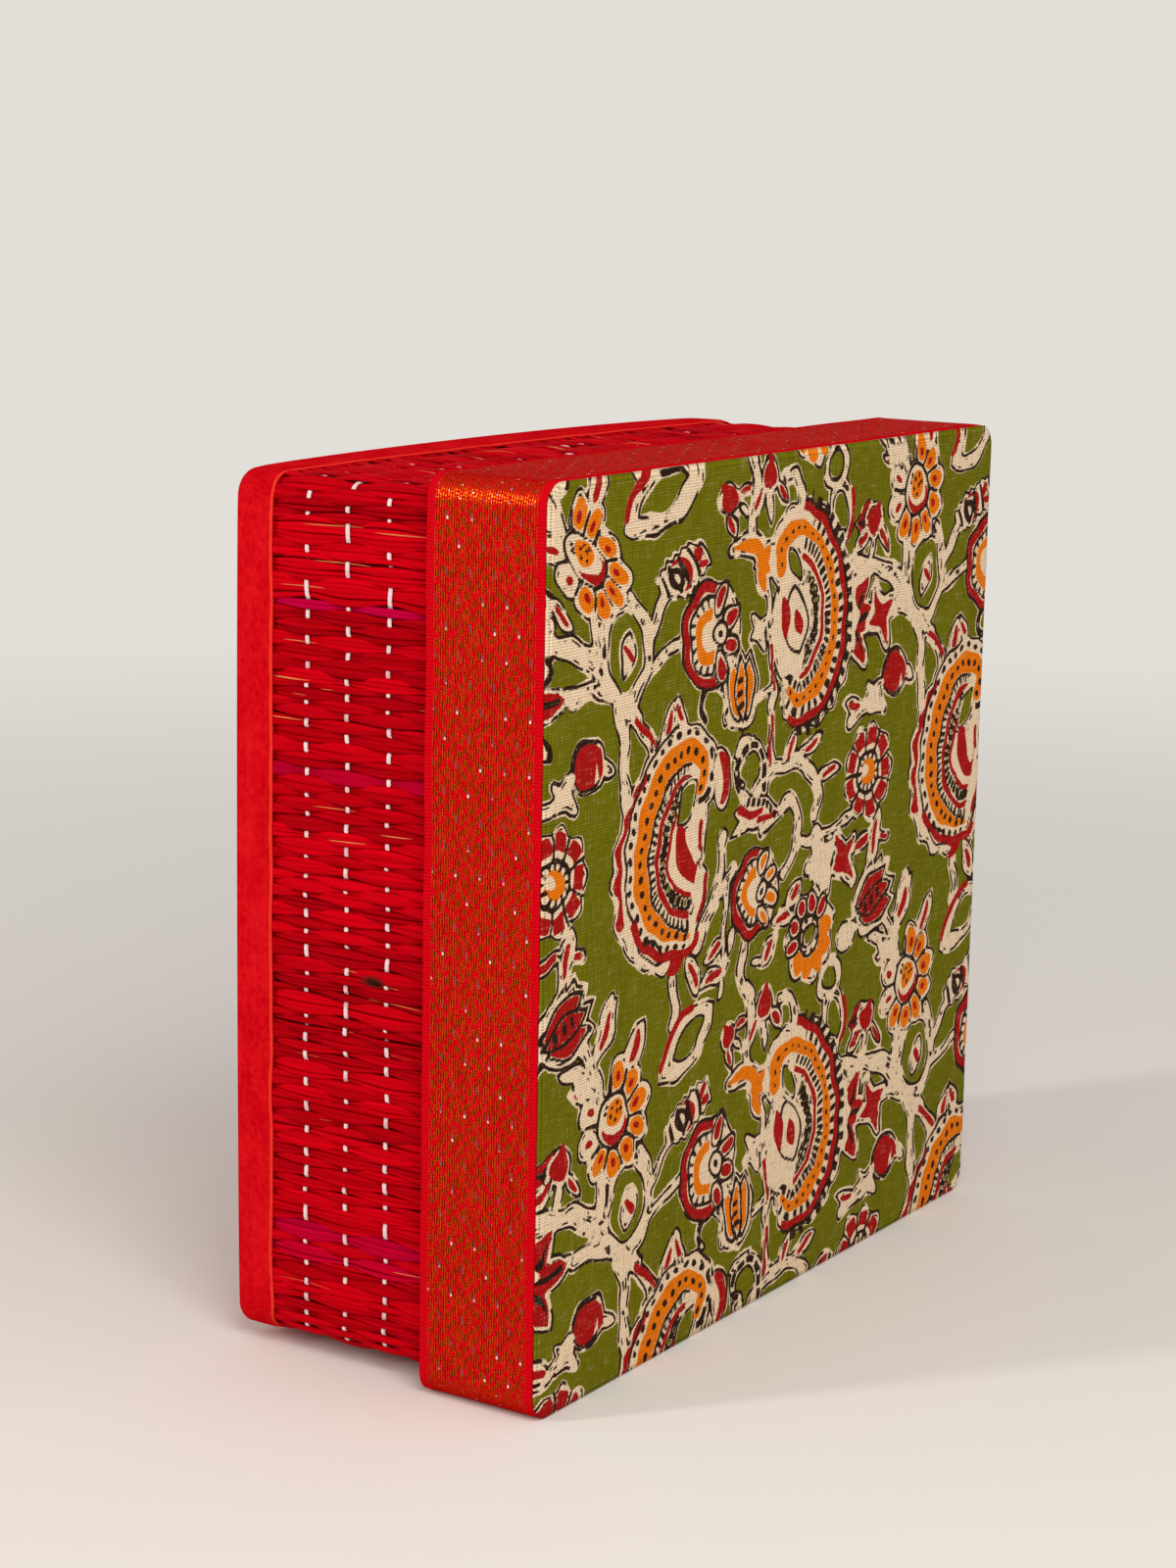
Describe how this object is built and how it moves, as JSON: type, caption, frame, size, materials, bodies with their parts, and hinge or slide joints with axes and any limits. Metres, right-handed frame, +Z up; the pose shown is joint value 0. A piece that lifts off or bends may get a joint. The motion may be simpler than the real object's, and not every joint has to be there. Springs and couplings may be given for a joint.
{
  "type": "woven grass box",
  "caption": "Square keepsake box with red woven grass walls and taped edges, and a lift-off lid covered in printed cotton with a brocade ribbon round its rim.",
  "frame": {"origin": "middle of the side wall that the box stands on, at the level of the lid's ribbon", "axes": "+Z up as pictured, with the box standing on one side wall; -Y out of the lid's printed face and the way the lid comes off; +Y out of the box's underside; +X to the right of a person who faces the lid"},
  "size_m": [0.165, 0.069, 0.165],
  "materials": {
    "grass": "dyed sedge, satin",
    "tape": "cotton tape, matte",
    "warp": "cotton thread, matte",
    "card": "grey-brown board, matte",
    "lining": "cotton, matte",
    "print": "printed cotton, matte",
    "brocade": "metallic brocade, satin"
  },
  "bodies": {
    "base": {"floor_mat": "grass", "floor_card": "card", "floor_lining": "lining", "wall_card": "card", "wall_lining": "lining", "wall_mat": "grass", "edge_tape": "tape", "mouth_tape": "tape", "warp_thread_1": "warp", "warp_thread_2": "warp", "warp_thread_3": "warp", "warp_thread_4": "warp", "warp_thread_5": "warp"},
    "lid": {"lid_top_card": "card", "lid_rim_card": "card", "lid_top_lining": "lining", "lid_rim_lining": "lining", "lid_cloth": "print", "lid_ribbon": "brocade"}
  },
  "joints": [
    {"name": "lid_lift", "type": "slide", "parent": "base", "child": "lid", "axis": [0, -1, 0], "range_m": [0, 0.1]}
  ]
}
